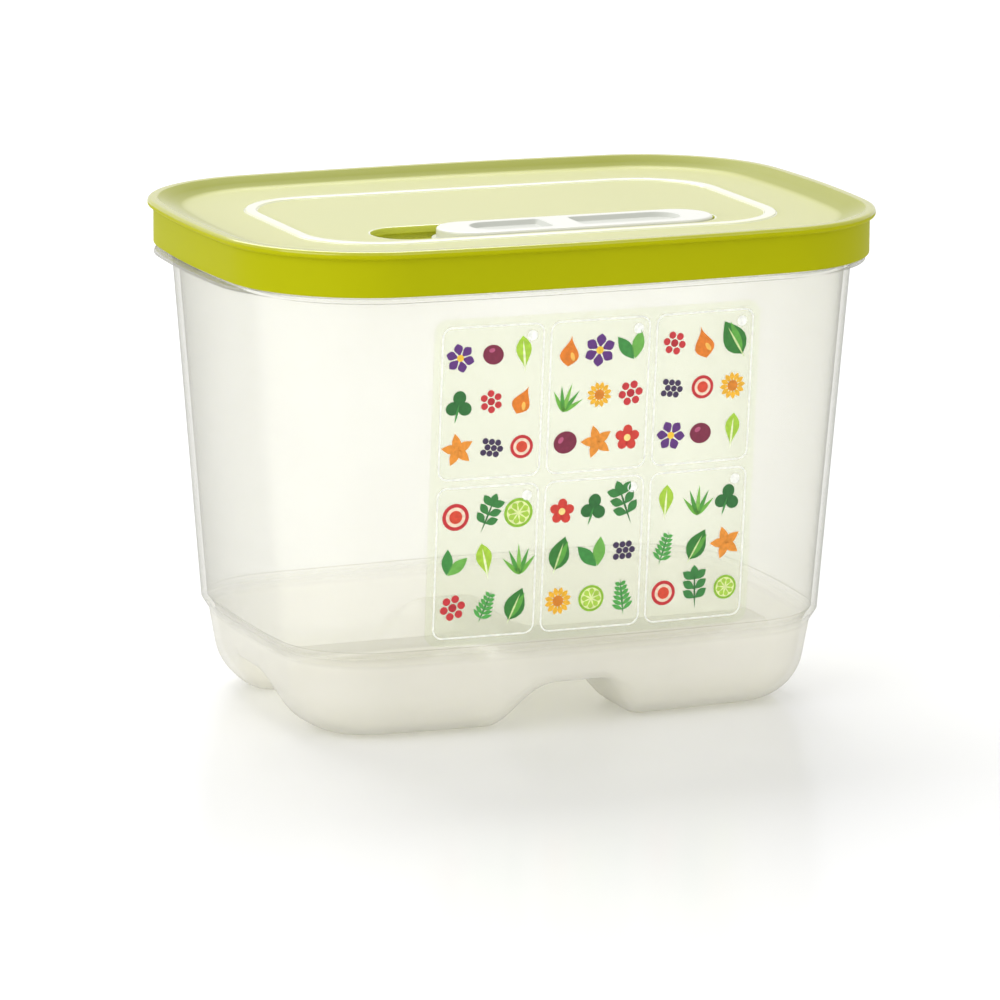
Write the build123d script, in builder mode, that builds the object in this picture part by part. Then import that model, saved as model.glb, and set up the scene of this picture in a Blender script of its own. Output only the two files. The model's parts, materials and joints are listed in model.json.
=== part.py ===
from build123d import *
from math import cos, radians, sin, tan
import os

# Produce keeper: a tall drafted box on four feet, a sealing lid that grips its rim,
# a vent slide held in the lid, and a guide label on the front wall.
# The origin is the middle of the footprint on the shelf. +X runs along the box, the front faces -Y.

# Overall size over the closed lid, seen from above: bowed sides and round corners
length = 200.0
width = 147.0
height = 145.0
corner_radius = 43.5
end_bow = 6.6
side_bow = 5.0

# Lid rim, an upside-down channel
bead_overhang = 1.7
bead_depth = 2.2
skirt_depth = 13.1
skirt_thickness = 1.4
crown_thickness = 2.0
seal_depth = 11.5
seal_thickness = 1.3
snap_ridge = 0.5
snap_height = 1.0
ridge_lift = 0.8

# Lid panel and its raised ring
panel_drop = 3.0
panel_thickness = 1.5
rim_width = 6.6
rim_slope = 32.0
rim_edge = 0.8
ring_length = 146.0
ring_width = 86.0
ring_corner = 24.0
ring_band = 2.8
ring_height = 0.6

# Vent pocket and slide
pocket_length = 104.0
pocket_width = 21.0
pocket_y = -25.5
pocket_depth = 3.6
pocket_floor = 1.4
pocket_wall = 1.3
slide_length = 84.0
slide_proud = 0.7
slide_flange = 1.3
slide_flange_height = 1.0
slide_clearance = 0.3
dish_length = 64.0
dish_width = 13.0
dish_depth = 1.3
dish_slope = 45.0
dish_bridge = 9.0
bridge_shift = -4.5
vent_count = 5
vent_width = 2.2
vent_length = 12.0
vent_spacing = 3.4
vent_margin = 2.0

# Container
wall = 1.8
wall_draft = 4.6
flange_thickness = 2.1
flange_inset = 2.8
ledge_inset = 0.2
ledge_width = 66.0
ledge_corner = 2.0
collar_thickness = 1.6
collar_shoulder = 1.0
step_top = 27.1
step_height = 3.5
step_inset = 2.2
step_lift = 0.43

# Feet and the channels between them
base_draft = 10.0
foot_draft = 15.0
foot_ledge = 0.3
channel_height = 14.5
channel_roof = 18.0
foot_corner = 12.0
foot_edge = 6.0

# Guide label
label_length = 99.0
label_foot_gap = 1.8
label_head_gap = 5.3
label_x = 1.0
label_film = 0.25
label_corner = 4.0

# Fits between the pieces
rim_clearance = 0.3
flange_gap = 0.6
label_adhesive = 0.15

# Insets from the outline of the lid's bead, from outside to inside
skirt_inner = bead_overhang + skirt_thickness
collar_bead = skirt_inner + snap_ridge + rim_clearance
collar_outer = collar_bead + snap_ridge
collar_inner = collar_outer + collar_thickness
seal_outer = collar_inner + rim_clearance
seal_inner = seal_outer + seal_thickness
wall_outer = collar_inner + collar_shoulder

# Levels above the shelf
skirt_bottom = height - skirt_depth
seal_bottom = height - seal_depth
crown_bottom = height - crown_thickness
collar_top = crown_bottom - rim_clearance
flange_top = skirt_bottom - flange_gap
flange_bottom = flange_top - flange_thickness
panel_top = height - panel_drop
step_bottom = step_top - step_height
label_bottom = step_top + label_foot_gap
label_top = flange_bottom - label_head_gap

os.makedirs("parts", exist_ok=True)


def outline(inset):
    """The keeper's shape seen from above, drawn in from the lid's bead by inset: four bowed sides."""
    x, y = length / 2, width / 2
    side_radius = ((x - end_bow) ** 2 + side_bow**2) / (2 * side_bow)
    end_radius = ((y - side_bow) ** 2 + end_bow**2) / (2 * end_bow)
    with BuildSketch(mode=Mode.PRIVATE) as shape:
        with Locations((0, side_radius - y)):
            Circle(side_radius - inset)
        with Locations((0, y - side_radius)):
            Circle(side_radius - inset, mode=Mode.INTERSECT)
        with Locations((end_radius - x, 0)):
            Circle(end_radius - inset, mode=Mode.INTERSECT)
        with Locations(Location((x - end_radius, 0, 0), (0, 0, 180))):
            Circle(end_radius - inset, mode=Mode.INTERSECT)
        fillet(shape.vertices(), corner_radius - inset)
    return shape.sketch


def wall_inset(level):
    """Inset of the drafted wall's outside at a level."""
    return wall_outer + (flange_bottom - level) * tan(radians(wall_draft))


def base_side(level):
    """Inset of the tapered base's outside at a level."""
    taper = tan(radians(base_draft))
    return wall_inset(step_top) + step_inset + (step_bottom - level) * taper


def foot_block(inset):
    """The four feet as solids, drawn in by inset. One is drawn, drafted and bevelled, then mirrored."""
    top = channel_height + inset
    side = channel_roof / 2 + inset - inset * tan(radians(foot_draft))
    half_angle = radians(90 + foot_draft) / 2
    with BuildPart(mode=Mode.PRIVATE) as feet:
        with BuildSketch(Plane.XY.offset(inset)) as footprint:
            add(outline(base_side(top) + foot_ledge + inset))
            with Locations((side, side)):
                Rectangle(length, width, align=Align.MIN, mode=Mode.INTERSECT)
            channel_corners = footprint.vertices().filter_by(
                lambda tip: min(abs(tip.X - side), abs(tip.Y - side)) < 0.01
            )
            fillet(channel_corners, foot_corner - inset)
        extrude(amount=top - inset)
        around = feet.faces().filter_by(Axis.Z, reverse=True)
        draft(around, Plane.XY.offset(top), -foot_draft)
        sole = feet.faces().sort_by(Axis.Z)[0]
        chamfer(sole.edges(), foot_edge - inset * (1 / sin(half_angle) - 1) / cos(half_angle))
        mirror(about=Plane.XZ)
        mirror(about=Plane.YZ)
    return feet.part


def drafted(inset, start, end, angle):
    """The outline at inset on the start level, as a solid to the end level that narrows downwards."""
    with BuildPart(mode=Mode.PRIVATE) as block:
        with BuildSketch(Plane.XY.offset(start)):
            add(outline(inset))
        extrude(amount=end - start)
        around = block.faces().filter_by(Axis.Z, reverse=True)
        draft(around, Plane.XY.offset(start), -angle)
    return block.part


def container_block(inset):
    """The container's outside as one solid, or its cavity when drawn in by the wall."""
    lift = inset * step_lift
    low, high = step_bottom + lift, step_top + lift
    with BuildPart(mode=Mode.PRIVATE) as block:
        # Step
        with BuildSketch(Plane.XY.offset(low)):
            add(outline(base_side(low) + inset))
        with BuildSketch(Plane.XY.offset(high)):
            add(outline(wall_inset(high) + inset))
        loft(ruled=True)
        # Drafted wall above it, and the tapered base below it over the channels, on its feet
        add(drafted(wall_inset(high) + inset, high, flange_top, wall_draft))
        add(drafted(base_side(low) + inset, low, channel_height + inset, base_draft))
        add(foot_block(inset))
    return block.part


# Container: one even wall that follows the step, the channels and the feet
with BuildPart() as container:
    add(container_block(0.0))
    add(container_block(wall), mode=Mode.SUBTRACT)
    # Flange, with a grip ledge at each end
    with BuildSketch(Plane.XY.offset(flange_bottom)) as flange:
        add(outline(ledge_inset))
        Rectangle(length, ledge_width, mode=Mode.INTERSECT)
        add(outline(flange_inset))
        ledge_tips = flange.vertices().filter_by(lambda tip: abs(tip.X) > length / 2 - 1.0)
        fillet(ledge_tips, ledge_corner)
        add(outline(wall_outer + wall / 2), mode=Mode.SUBTRACT)
    extrude(amount=flange_thickness)
    # Collar that the lid's channel closes over, and its snap bead
    with BuildSketch(Plane.XY.offset(flange_bottom)):
        add(outline(collar_outer))
        add(outline(collar_inner), mode=Mode.SUBTRACT)
    extrude(amount=collar_top - flange_bottom)
    with BuildSketch(Plane.XY.offset(collar_top - 2 * snap_height)):
        add(outline(collar_bead))
        add(outline(collar_outer + collar_thickness / 2), mode=Mode.SUBTRACT)
    extrude(amount=snap_height)

container.part.label = "container"
export_step(container.part, "parts/container.step")


# Lid: bead and skirt outside, panel sunk inside the rim
with BuildPart() as lid:
    with BuildSketch(Plane.XY.offset(skirt_bottom)):
        add(outline(bead_overhang))
    extrude(amount=skirt_depth)
    with BuildSketch(Plane.XY.offset(height - bead_depth)):
        add(outline(0))
    extrude(amount=bead_depth)
    with BuildSketch(Plane.XY.offset(panel_top)):
        add(outline(rim_width + panel_drop * tan(radians(rim_slope))))
    extrude(amount=panel_drop, taper=-rim_slope, mode=Mode.SUBTRACT)
    crown = lid.edges().filter_by_position(Axis.Z, height - 0.01, height + 0.01)
    chamfer(crown, rim_edge)
    # Underside: the hollow below the panel, then the channel around it
    with BuildSketch(Plane.XY.offset(skirt_bottom)):
        add(outline(seal_inner))
    extrude(amount=panel_top - panel_thickness - skirt_bottom, mode=Mode.SUBTRACT)
    with BuildSketch(Plane.XY.offset(skirt_bottom)):
        add(outline(skirt_inner))
    extrude(amount=seal_bottom - skirt_bottom, mode=Mode.SUBTRACT)
    with BuildSketch(Plane.XY.offset(seal_bottom)):
        add(outline(skirt_inner))
        add(outline(seal_outer), mode=Mode.SUBTRACT)
    extrude(amount=crown_bottom - seal_bottom, mode=Mode.SUBTRACT)
    with BuildSketch(Plane.XY.offset(skirt_bottom + ridge_lift)):
        add(outline(skirt_inner - skirt_thickness / 2))
        add(outline(skirt_inner + snap_ridge), mode=Mode.SUBTRACT)
    extrude(amount=snap_height)
    # Raised ring on the panel
    with BuildSketch(Plane.XY.offset(panel_top)):
        RectangleRounded(ring_length, ring_width, ring_corner)
        RectangleRounded(
            ring_length - 2 * ring_band,
            ring_width - 2 * ring_band,
            ring_corner - ring_band,
            mode=Mode.SUBTRACT,
        )
    extrude(amount=ring_height)
    # Vent pocket: a tub below the panel, with a groove under each lip
    groove_width = pocket_width + 2 * slide_flange
    tub_height = pocket_depth + pocket_floor
    pocket_bottom = panel_top - pocket_depth
    groove_height = slide_flange_height + 2 * slide_clearance
    with BuildSketch(Plane.XY.offset(panel_top - tub_height)):
        with Locations((0, pocket_y)):
            SlotOverall(
                pocket_length + 2 * (slide_flange + pocket_wall),
                groove_width + 2 * pocket_wall,
            )
    extrude(amount=tub_height - panel_thickness)
    with BuildSketch(Plane.XY.offset(pocket_bottom)):
        with Locations((0, pocket_y)):
            SlotOverall(pocket_length, pocket_width)
    extrude(amount=pocket_depth, mode=Mode.SUBTRACT)
    with BuildSketch(Plane.XY.offset(pocket_bottom)):
        with Locations((0, pocket_y)):
            SlotOverall(pocket_length + 2 * slide_flange, groove_width)
    extrude(amount=groove_height, mode=Mode.SUBTRACT)
    # Vent slots in the end of the pocket that the closed slide covers
    vent_row = (vent_count - 1) * vent_spacing + vent_width
    vent_x = pocket_length / 2 - vent_margin - vent_row / 2
    with BuildSketch(Plane.XY.offset(panel_top - tub_height)):
        with Locations((vent_x, pocket_y)):
            with GridLocations(vent_spacing, 0, vent_count, 1):
                SlotOverall(vent_length, vent_width, rotation=90)
    extrude(amount=pocket_floor, mode=Mode.SUBTRACT)

lid.part.label = "lid"
export_step(lid.part, "parts/lid.step")


# Vent slide: a plate with two finger dishes, and a thin flange that runs in the grooves
slide_width = pocket_width - 2 * slide_clearance
slide_x = (pocket_length - slide_length) / 2 - slide_clearance
slide_bottom = pocket_bottom + slide_clearance
slide_top = panel_top + slide_proud
with BuildPart() as vent_slider:
    with BuildSketch(Plane.XY.offset(slide_bottom)):
        with Locations((slide_x, pocket_y)):
            SlotOverall(slide_length, slide_width)
    extrude(amount=slide_top - slide_bottom)
    chamfer(vent_slider.edges().group_by(Axis.Z)[-1], slide_proud)
    with BuildSketch(Plane.XY.offset(slide_bottom)):
        with Locations((slide_x, pocket_y)):
            SlotOverall(slide_length + 2 * slide_clearance, slide_width + 2 * slide_flange)
    extrude(amount=slide_flange_height)
    with BuildSketch(Plane.XY.offset(slide_top - dish_depth)):
        with Locations((slide_x, pocket_y)):
            SlotOverall(dish_length - 2 * dish_depth, dish_width - 2 * dish_depth)
        with Locations((slide_x + bridge_shift, pocket_y)):
            Rectangle(dish_bridge + 2 * dish_depth, dish_width, mode=Mode.SUBTRACT)
    extrude(amount=dish_depth, taper=-dish_slope, mode=Mode.SUBTRACT)

vent_slider.part.label = "vent_slider"
export_step(vent_slider.part, "parts/vent_slider.step")


def wall_block(growth):
    """The drafted wall as a solid block, grown outwards by growth."""
    return drafted(wall_inset(step_top) - growth, step_top, flange_top, wall_draft)


# Guide label: a thin film that follows the front wall
with BuildPart() as guide_label:
    add(wall_block(label_adhesive + label_film))
    add(wall_block(label_adhesive), mode=Mode.SUBTRACT)
    with BuildSketch(Plane.XZ):
        with Locations((label_x, (label_bottom + label_top) / 2)):
            RectangleRounded(label_length, label_top - label_bottom, label_corner)
    extrude(amount=width, mode=Mode.INTERSECT)

guide_label.part.label = "guide_label"
export_step(guide_label.part, "parts/guide_label.step")
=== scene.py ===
"""Produce keeper: a milky storage box with a soft lime lid, a vent slide and a printed film."""

import json
import math

import bmesh
import bpy
from mathutils import Matrix, Vector
from mathutils.geometry import tessellate_polygon

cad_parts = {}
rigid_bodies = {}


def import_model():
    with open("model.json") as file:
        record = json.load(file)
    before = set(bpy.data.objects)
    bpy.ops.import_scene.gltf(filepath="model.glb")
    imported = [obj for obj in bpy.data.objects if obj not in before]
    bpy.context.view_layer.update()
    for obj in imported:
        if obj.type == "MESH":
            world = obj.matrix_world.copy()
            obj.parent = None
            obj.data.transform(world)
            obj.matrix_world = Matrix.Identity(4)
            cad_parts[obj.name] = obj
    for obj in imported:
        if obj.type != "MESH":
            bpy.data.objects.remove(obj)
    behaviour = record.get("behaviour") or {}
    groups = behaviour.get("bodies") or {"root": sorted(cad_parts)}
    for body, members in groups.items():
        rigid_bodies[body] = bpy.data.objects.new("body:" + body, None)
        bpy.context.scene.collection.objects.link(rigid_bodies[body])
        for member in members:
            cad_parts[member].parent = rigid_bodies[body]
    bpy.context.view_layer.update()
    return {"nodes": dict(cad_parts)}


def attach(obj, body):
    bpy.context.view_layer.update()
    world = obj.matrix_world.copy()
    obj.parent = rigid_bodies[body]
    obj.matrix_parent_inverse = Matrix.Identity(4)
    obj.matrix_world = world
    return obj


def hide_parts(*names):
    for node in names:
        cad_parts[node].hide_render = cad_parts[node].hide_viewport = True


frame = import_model()


# Studio
# A pale glossy table top in a white tent, a large soft lamp behind, one at the left and a weak
# one in front, and a long lens that looks down on the keeper at about eleven degrees.

def node(tree, kind, inputs=None, **settings):
    """Add a node with its settings; each input gets a value or another node's output."""
    new = tree.nodes.new(kind)
    for name, value in settings.items():
        setattr(new, name, value)
    for socket, value in (inputs or {}).items():
        if isinstance(value, bpy.types.NodeSocket):
            tree.links.new(value, new.inputs[socket])
        else:
            new.inputs[socket].default_value = value
    return new


def paint(code):
    """Linear colour of an sRGB hex value."""
    parts = [int(code[place:place + 2], 16) / 255 for place in (1, 3, 5)]
    return [part / 12.92 if part <= 0.04045 else ((part + 0.055) / 1.055) ** 2.4 for part in parts] + [1]


view = bpy.context.scene.view_settings
view.view_transform = "Standard"


def seen_directly(tree):
    """1 for the rays that the eye, a reflection or a clear wall sends out, and 0 for light itself."""
    rays = node(tree, "ShaderNodeLightPath").outputs
    seen = node(tree, "ShaderNodeMath", {0: rays["Is Camera Ray"], 1: rays["Is Transmission Ray"]},
                operation="MAXIMUM").outputs[0]
    return node(tree, "ShaderNodeMath", {0: seen, 1: rays["Is Glossy Ray"]}, operation="MAXIMUM").outputs[0]


tent = bpy.data.worlds.new("white tent")
bpy.context.scene.world = tent
tent.use_nodes = True
tree = tent.node_tree
tree.nodes.clear()
tent_light = node(tree, "ShaderNodeBackground", {"Color": paint("#FFFFFF"), "Strength": 0.71})
tent_white = node(tree, "ShaderNodeBackground", {"Color": paint("#FFFFFF"), "Strength": 1.0})
tent_mix = node(tree, "ShaderNodeMixShader", {
    0: seen_directly(tree), 1: tent_light.outputs[0], 2: tent_white.outputs[0]})
node(tree, "ShaderNodeOutputWorld", {"Surface": tent_mix.outputs[0]})

floor_mesh = bpy.data.meshes.new("table_top")
floor_half = 12.0
floor_mesh.from_pydata(
    [(-floor_half, -floor_half, 0), (floor_half, -floor_half, 0), (floor_half, floor_half, 0),
     (-floor_half, floor_half, 0)], [], [(0, 1, 2, 3)])
table_top = bpy.data.objects.new("table_top", floor_mesh)
bpy.context.collection.objects.link(table_top)
# A white sheet that keeps a soft shadow and gives a faint, blurred reflection of the feet
floor_finish = bpy.data.materials.new("white acrylic sheet")
floor_finish.use_nodes = True
tree = floor_finish.node_tree
tree.nodes.clear()
matt = node(tree, "ShaderNodeBsdfDiffuse", {"Color": paint("#E3E3E3")})
lift = node(tree, "ShaderNodeEmission", {"Color": paint("#FFFFFF"), "Strength": 0.05})
both = node(tree, "ShaderNodeAddShader", {0: matt.outputs[0], 1: lift.outputs[0]})
body = node(tree, "ShaderNodeMixShader", {0: seen_directly(tree), 1: matt.outputs[0], 2: both.outputs[0]})
gloss = node(tree, "ShaderNodeBsdfGlossy", {"Color": paint("#FFFFFF"), "Roughness": 0.2})
edge = node(tree, "ShaderNodeFresnel", {"IOR": 1.3})
sheet = node(tree, "ShaderNodeMixShader", {0: edge.outputs[0], 1: body.outputs[0], 2: gloss.outputs[0]})
node(tree, "ShaderNodeOutputMaterial", {"Surface": sheet.outputs[0]})
floor_mesh.materials.append(floor_finish)


def lamp(name, place, aim, size, power):
    """A square soft lamp at a place, turned towards a point."""
    data = bpy.data.lights.new(name, "AREA")
    data.size = size
    data.energy = power
    made = bpy.data.objects.new(name, data)
    made.location = place
    made.rotation_euler = (Vector(aim) - Vector(place)).to_track_quat("-Z", "Y").to_euler()
    bpy.context.collection.objects.link(made)


lamp("back_lamp", (0.1, 1.4, 1.8), (0, 0, 0.07), 1.6, 40)
lamp("left_lamp", (-1.9, -0.8, 1.1), (0, 0, 0.07), 1.8, 26)
lamp("front_lamp", (0.8, -2.2, 1.4), (0, 0, 0.07), 1.8, 9)

# The camera's directions, place and lens were solved from the outlines of the rim, step and feet
camera_right = Vector((0.92783, -0.37295, 0.00616))
camera_back = Vector((-0.36653, -0.90857, 0.20039)).normalized()
camera_up = camera_back.cross(camera_right).normalized()
camera_right = camera_up.cross(camera_back)
camera_data = bpy.data.cameras.new("camera")
camera_data.sensor_width = 36.0
camera_data.sensor_fit = "HORIZONTAL"
camera_data.lens = 232.05
camera_data.shift_x = -0.00903
camera_data.shift_y = -0.04499
camera_data.clip_end = 60.0
camera = bpy.data.objects.new("camera", camera_data)
camera.matrix_world = Matrix.Translation((-0.68834, -1.70630, 0.44633)) @ Matrix(
    (camera_right, camera_up, camera_back)).transposed().to_4x4()
bpy.context.collection.objects.link(camera)
bpy.context.scene.camera = camera


# Container
# The box is one moulding of milky natural polypropylene with an even wall. It has a collar and
# a flange at its rim, a grip ledge at each end, a step above the base, and four feet between
# two crossing channels.

MM = 0.001
LENGTH, WIDTH, HEIGHT = 200.0, 147.0, 145.0
CORNER, END_BOW, SIDE_BOW = 43.5, 6.6, 5.0


def arc_stations(centre, radius, first, last, steps):
    """Stations of an arc: its centre, its radius and the outward direction at each."""
    return [(centre[0], centre[1], radius, math.cos(turn), math.sin(turn))
            for turn in (first + (last - first) * step / steps for step in range(steps + 1))]


def keeper_quarter():
    """Stations from the middle of an end to the middle of a side, and the number of the corner's middle."""
    half_x, half_y = LENGTH / 2, WIDTH / 2
    chord_x, chord_y = half_x - END_BOW, half_y - SIDE_BOW
    side = (chord_x ** 2 + SIDE_BOW ** 2) / (2 * SIDE_BOW)
    end = (chord_y ** 2 + END_BOW ** 2) / (2 * END_BOW)
    side_centre, end_centre = Vector((0, half_y - side)), Vector((half_x - end, 0))
    # The corner's centre lies where two circles cross
    to_side, to_end = side - CORNER, end - CORNER
    between = end_centre - side_centre
    along = (to_side ** 2 - to_end ** 2 + between.length_squared) / (2 * between.length)
    off = math.sqrt(to_side ** 2 - along ** 2)
    line = between.normalized()
    corner = side_centre + line * along + Vector((-line.y, line.x)) * off
    if corner.x < 0 or corner.y < 0:
        corner = side_centre + line * along - Vector((-line.y, line.x)) * off
    turn_end = math.atan2(corner.y, corner.x - end_centre.x)
    turn_side = math.atan2(corner.y - side_centre.y, corner.x)
    # Stations stand closer towards the middle of a side, where the channels run
    ends, corners, sides, crowding = 26, 28, 36, 1.25
    reach_y = end * math.sin(turn_end)
    reach_x = side * math.cos(turn_side)
    quarter = []
    for step in range(ends):
        turn = math.asin(reach_y * (step / ends) ** crowding / end)
        quarter.append((end_centre.x, 0.0, end, math.cos(turn), math.sin(turn)))
    quarter += arc_stations(corner, CORNER, turn_end, turn_side, corners)
    for step in range(sides - 1, -1, -1):
        turn = math.acos(reach_x * (step / sides) ** crowding / side)
        quarter.append((0.0, side_centre.y, side, math.cos(turn), math.sin(turn)))
    return quarter, ends + corners // 2


quarter, corner_middle = keeper_quarter()
side_steps = len(quarter) - 1 - corner_middle
end_steps = corner_middle
mirrored = [(-x, y, r, -c, s) for x, y, r, c, s in reversed(quarter[:-1])]
upper = quarter + mirrored
keeper = upper + [(x, -y, r, c, -s) for x, y, r, c, s in reversed(upper[1:-1])]


def loop(stations, inset, level):
    """A closed loop of points, drawn in from the stations by inset."""
    return [Vector((x + (r - inset) * c, y + (r - inset) * s, level)) for x, y, r, c, s in stations]


def rounded(corners, turn_step):
    """Points of an open path through corners given as (inset, level, radius)."""
    path = [Vector(corners[0][:2])]
    for before, here, after in zip(corners, corners[1:], corners[2:]):
        tip = Vector(here[:2])
        back = Vector(before[:2]) - tip
        ahead = Vector(after[:2]) - tip
        turn = math.pi - back.angle(ahead)
        reach = here[2] * math.tan(turn / 2)
        if reach < 1e-6:
            path.append(tip)
            continue
        start, end = tip + back.normalized() * reach, tip + ahead.normalized() * reach
        centre = tip + (back.normalized() + ahead.normalized()).normalized() * (here[2] / math.cos(turn / 2))
        steps = max(2, round(math.degrees(turn) / turn_step))
        arm = start - centre
        sign = 1 if arm.cross(end - centre) > 0 else -1
        for step in range(steps + 1):
            angle = sign * turn * step / steps
            path.append(centre + Vector((arm.x * math.cos(angle) - arm.y * math.sin(angle),
                                         arm.x * math.sin(angle) + arm.y * math.cos(angle))))
    path.append(Vector(corners[-1][:2]))
    return path


class Body:
    """A mesh in millimetres that is put together from loops, skins and flat fills."""

    def __init__(self):
        self.points, self.faces, self.finish = [], [], []

    def ring(self, points):
        first = len(self.points)
        self.points += points
        return list(range(first, first + len(points)))

    def face(self, corners, finish=0):
        self.faces.append(tuple(corners))
        self.finish.append(finish)

    def skin(self, rings, finish=0):
        """Quads between neighbouring rings."""
        for low, high in zip(rings, rings[1:]):
            for here in range(len(low)):
                there = (here + 1) % len(low)
                self.face((low[here], low[there], high[there], high[here]), finish)

    def fill(self, border, holes=(), finish=0):
        """Triangles of a flat region with holes."""
        rings = [border] + list(holes)
        flat = [index for ring in rings for index in ring]
        outlines = [[self.points[index].copy() for index in ring] for ring in rings]
        for ring in outlines:
            for point in ring:
                point.z = 0.0
        for triangle in tessellate_polygon(outlines):
            self.face([flat[corner] for corner in triangle], finish)

    def piece(self, name, finishes, ride):
        """A Blender object with its place in its mesh, faces outwards and sharp edges kept sharp."""
        mesh = bpy.data.meshes.new(name)
        mesh.from_pydata([point * MM for point in self.points], [], self.faces)
        for finish in finishes:
            mesh.materials.append(finish)
        mesh.polygons.foreach_set("material_index", self.finish)
        work = bmesh.new()
        work.from_mesh(mesh)
        bmesh.ops.remove_doubles(work, verts=work.verts, dist=0.001 * MM)
        bmesh.ops.recalc_face_normals(work, faces=work.faces)
        limit = math.radians(35.0)
        for edge_line in work.edges:
            if len(edge_line.link_faces) == 2:
                edge_line.smooth = edge_line.calc_face_angle(0.0) < limit
        for face in work.faces:
            face.smooth = True
        work.to_mesh(mesh)
        work.free()
        made = bpy.data.objects.new(name, mesh)
        bpy.context.collection.objects.link(made)
        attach(made, ride)
        return made


WALL = 1.8
WALL_DRAFT = math.tan(math.radians(4.6))
BASE_DRAFT = math.tan(math.radians(10.0))
WALL_INSET = 7.0
FLANGE_BOTTOM, FLANGE_TOP = 129.2, 131.3
STEP_TOP, STEP_BOTTOM, STEP_INSET = 27.1, 23.6, 2.2
CHANNEL, CHANNEL_ROOF_HALF, CHANNEL_SIDE, CHANNEL_BLEND = 14.5, 6.0, 17.6, 0.15
SOLE_RADIUS, SOLE_END_SHARE, SOLE_FLAT = 16.0, math.tan(math.radians(40.0)), 0.2


def wall_inset(level):
    """Inset of the drafted wall's outside at a level."""
    return WALL_INSET + (FLANGE_BOTTOM - level) * WALL_DRAFT


def ease(share):
    """A smooth rise from 0 to 1, level at both ends."""
    share = min(1.0, max(0.0, share))
    return share * share * (3.0 - 2.0 * share)


def channel_lift(x, y):
    """Height of the channels' ceiling over the soles, at a place on the base."""
    def slot_height(distance):
        return 1.0 - ease((abs(distance) - CHANNEL_ROOF_HALF) / CHANNEL_SIDE)
    return CHANNEL * (1.0 - (1.0 - slot_height(x)) * (1.0 - slot_height(y)))


def raised(point):
    """A point of the plain base, lifted where a channel passes under it."""
    above = 1.0 - point.z / CHANNEL
    share = 0.5 * (above + math.sqrt(above * above + CHANNEL_BLEND ** 2))
    return Vector((point.x, point.y, point.z + channel_lift(point.x, point.y) * share))


base_inset = wall_inset(STEP_TOP) + STEP_INSET
sole_inset = base_inset + STEP_BOTTOM * BASE_DRAFT
sole_end = sole_inset + SOLE_RADIUS * SOLE_END_SHARE + SOLE_FLAT
wall_levels = [FLANGE_BOTTOM, 118.0, 106.0, 94.0, 82.0, 70.0, 58.0, 46.0, 38.0, 32.0]
outer_path = [Vector((wall_inset(level), level)) for level in wall_levels]
base_path = rounded([
    (wall_inset(30.0), 30.0, 0),
    (wall_inset(STEP_TOP), STEP_TOP, 0.9),
    (base_inset, STEP_BOTTOM, 0.9),
    (base_inset + 3.0 * BASE_DRAFT, STEP_BOTTOM - 3.0, 0),
    (base_inset + 6.0 * BASE_DRAFT, STEP_BOTTOM - 6.0, 0),
    (sole_inset, 0.0, SOLE_RADIUS),
    (sole_end, 0.0, 0),
], turn_step=6.0)
outer_path += base_path

shell = Body()
outer_rings = [shell.ring([raised(point) for point in loop(keeper, at.x, at.y)]) for at in outer_path]
shell.skin(outer_rings)

# Underside: a patch between the four sides of the last ring
last = outer_rings[-1]
count = len(last)
long_steps, short_steps = 2 * side_steps, 2 * end_steps


def patch(body, ring, level):
    """A grid that fills the keeper's outline, lifted over the channels."""
    start = count - corner_middle
    right = [ring[(start + step) % count] for step in range(short_steps + 1)]
    rear = [ring[(corner_middle + step) % count] for step in range(long_steps + 1)]
    left = [ring[(corner_middle + long_steps + step) % count] for step in range(short_steps + 1)]
    first = corner_middle + long_steps + short_steps
    front = [ring[(first + step) % count] for step in range(long_steps + 1)]
    rear.reverse()
    left.reverse()
    plain = loop(keeper, sole_end, level)
    where = {ring[place]: plain[place] for place in range(count)}
    grid = []
    for row in range(short_steps + 1):
        v = row / short_steps
        line = []
        for column in range(long_steps + 1):
            u = column / long_steps
            if row == 0:
                line.append(front[column])
            elif row == short_steps:
                line.append(rear[column])
            elif column == 0:
                line.append(left[row])
            elif column == long_steps:
                line.append(right[row])
            else:
                point = (where[front[column]] * (1 - v) + where[rear[column]] * v
                         + where[left[row]] * (1 - u) + where[right[row]] * u
                         - where[front[0]] * (1 - u) * (1 - v) - where[front[-1]] * u * (1 - v)
                         - where[rear[0]] * (1 - u) * v - where[rear[-1]] * u * v)
                line.append(len(body.points))
                body.points.append(raised(point))
        grid.append(line)
    for low, high in zip(grid, grid[1:]):
        for here in range(long_steps):
            body.face((low[here], low[here + 1], high[here + 1], high[here]))


patch(shell, last, 0.0)
outer_count = len(shell.points)
outer_faces = list(shell.faces)

# Inner face of the wall: every outer point, moved in along the surface's normal
work = bmesh.new()
verts = [work.verts.new(point) for point in shell.points]
for corners in outer_faces:
    work.faces.new([verts[corner] for corner in corners])
bmesh.ops.recalc_face_normals(work, faces=work.faces)
work.normal_update()
sample = verts[0]
flip = 1 if sample.normal.dot(Vector((sample.co.x, sample.co.y, 0))) > 0 else -1
shell.points += [vert.co - vert.normal * (flip * WALL) for vert in verts]
work.free()
for corners in outer_faces:
    shell.face([corner + outer_count for corner in corners])

# Rim: flange, collar with its snap bead, and the shoulder inside
COLLAR_OUTER, COLLAR_BEAD, COLLAR_INNER, COLLAR_TOP = 4.4, 3.9, 6.0, 142.7
FLANGE_INSET, LEDGE_INSET = 2.8, 0.2
LEDGE_FULL_HALF, LEDGE_FADE, END_ZONE = 27.0, 18.0, 60.0


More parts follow.
